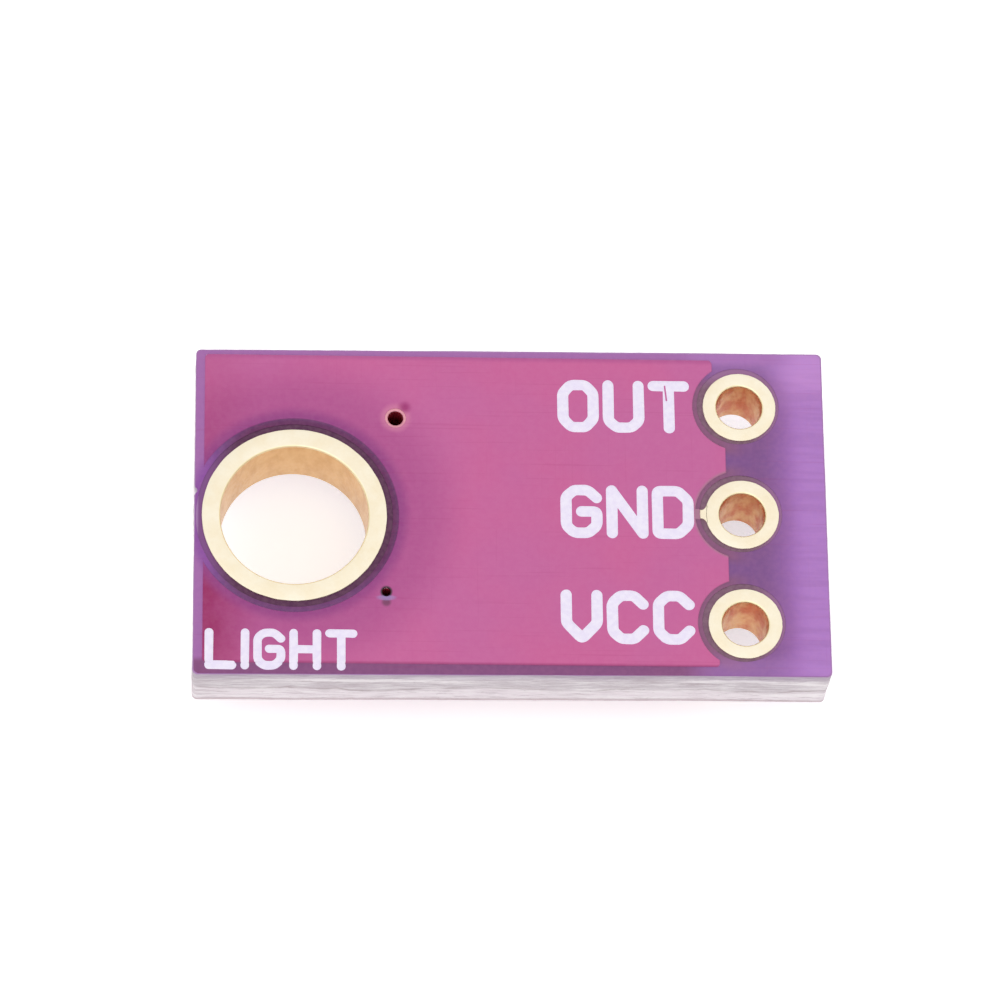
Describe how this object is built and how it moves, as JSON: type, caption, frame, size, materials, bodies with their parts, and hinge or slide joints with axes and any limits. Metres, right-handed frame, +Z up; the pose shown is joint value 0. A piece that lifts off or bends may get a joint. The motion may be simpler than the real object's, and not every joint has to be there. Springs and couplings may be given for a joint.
{
  "type": "light sensor module",
  "caption": "Small violet light sensor breakout board, label side up, with a plated mounting hole, a row of plated pin holes, and the sensor and its resistor underneath.",
  "frame": {"origin": "middle of the board's outline seen from above, at the height of the sensor's flat face, on which the module lies", "axes": "+X along the long side towards the pin holes, +Y across the board towards the output pin, +Z up out of the label side"},
  "size_m": [0.0138, 0.0076, 0.0027],
  "materials": {
    "laminate": "pale glass and epoxy laminate, sawn edge",
    "copper": "thin copper foil under the mask",
    "gold_finish": "pale gold plating on copper",
    "solder_mask": "translucent violet lacquer, pink over copper",
    "carrier": "pale sensor carrier plate",
    "sensor_metal": "gold-plated terminal",
    "silicon": "dark silicon chip",
    "adhesive": "silver-filled adhesive",
    "clear_epoxy": "clear cast epoxy",
    "alumina": "white ceramic",
    "resistive_film": "dark fired film",
    "black_glaze": "black protective glaze",
    "tin": "dull tin plating",
    "solder": "bright solder, slightly grained"
  },
  "bodies": {
    "root": {"pcb_laminate": "laminate", "top_ground_foil": "copper", "bottom_ground_foil": "copper", "signal_track": "copper", "supply_track": "copper", "top_mask": "solder_mask", "bottom_mask": "solder_mask", "mounting_hole_plating": "gold_finish", "pad_out": "gold_finish", "pad_ground": "gold_finish", "pad_supply": "gold_finish", "upper_via": "gold_finish", "lower_via": "copper", "sensor_carrier": "carrier", "emitter_terminal": "sensor_metal", "collector_terminal": "sensor_metal", "sensor_die": "silicon", "die_adhesive": "adhesive", "bond_wire": "sensor_metal", "sensor_moulding": "clear_epoxy", "resistor_ceramic": "alumina", "resistor_film": "resistive_film", "resistor_glaze": "black_glaze", "resistor_signal_cap": "tin", "resistor_ground_cap": "tin", "emitter_solder": "solder", "collector_solder": "solder", "resistor_signal_solder": "solder", "resistor_ground_solder": "solder"}
  },
  "joints": []
}
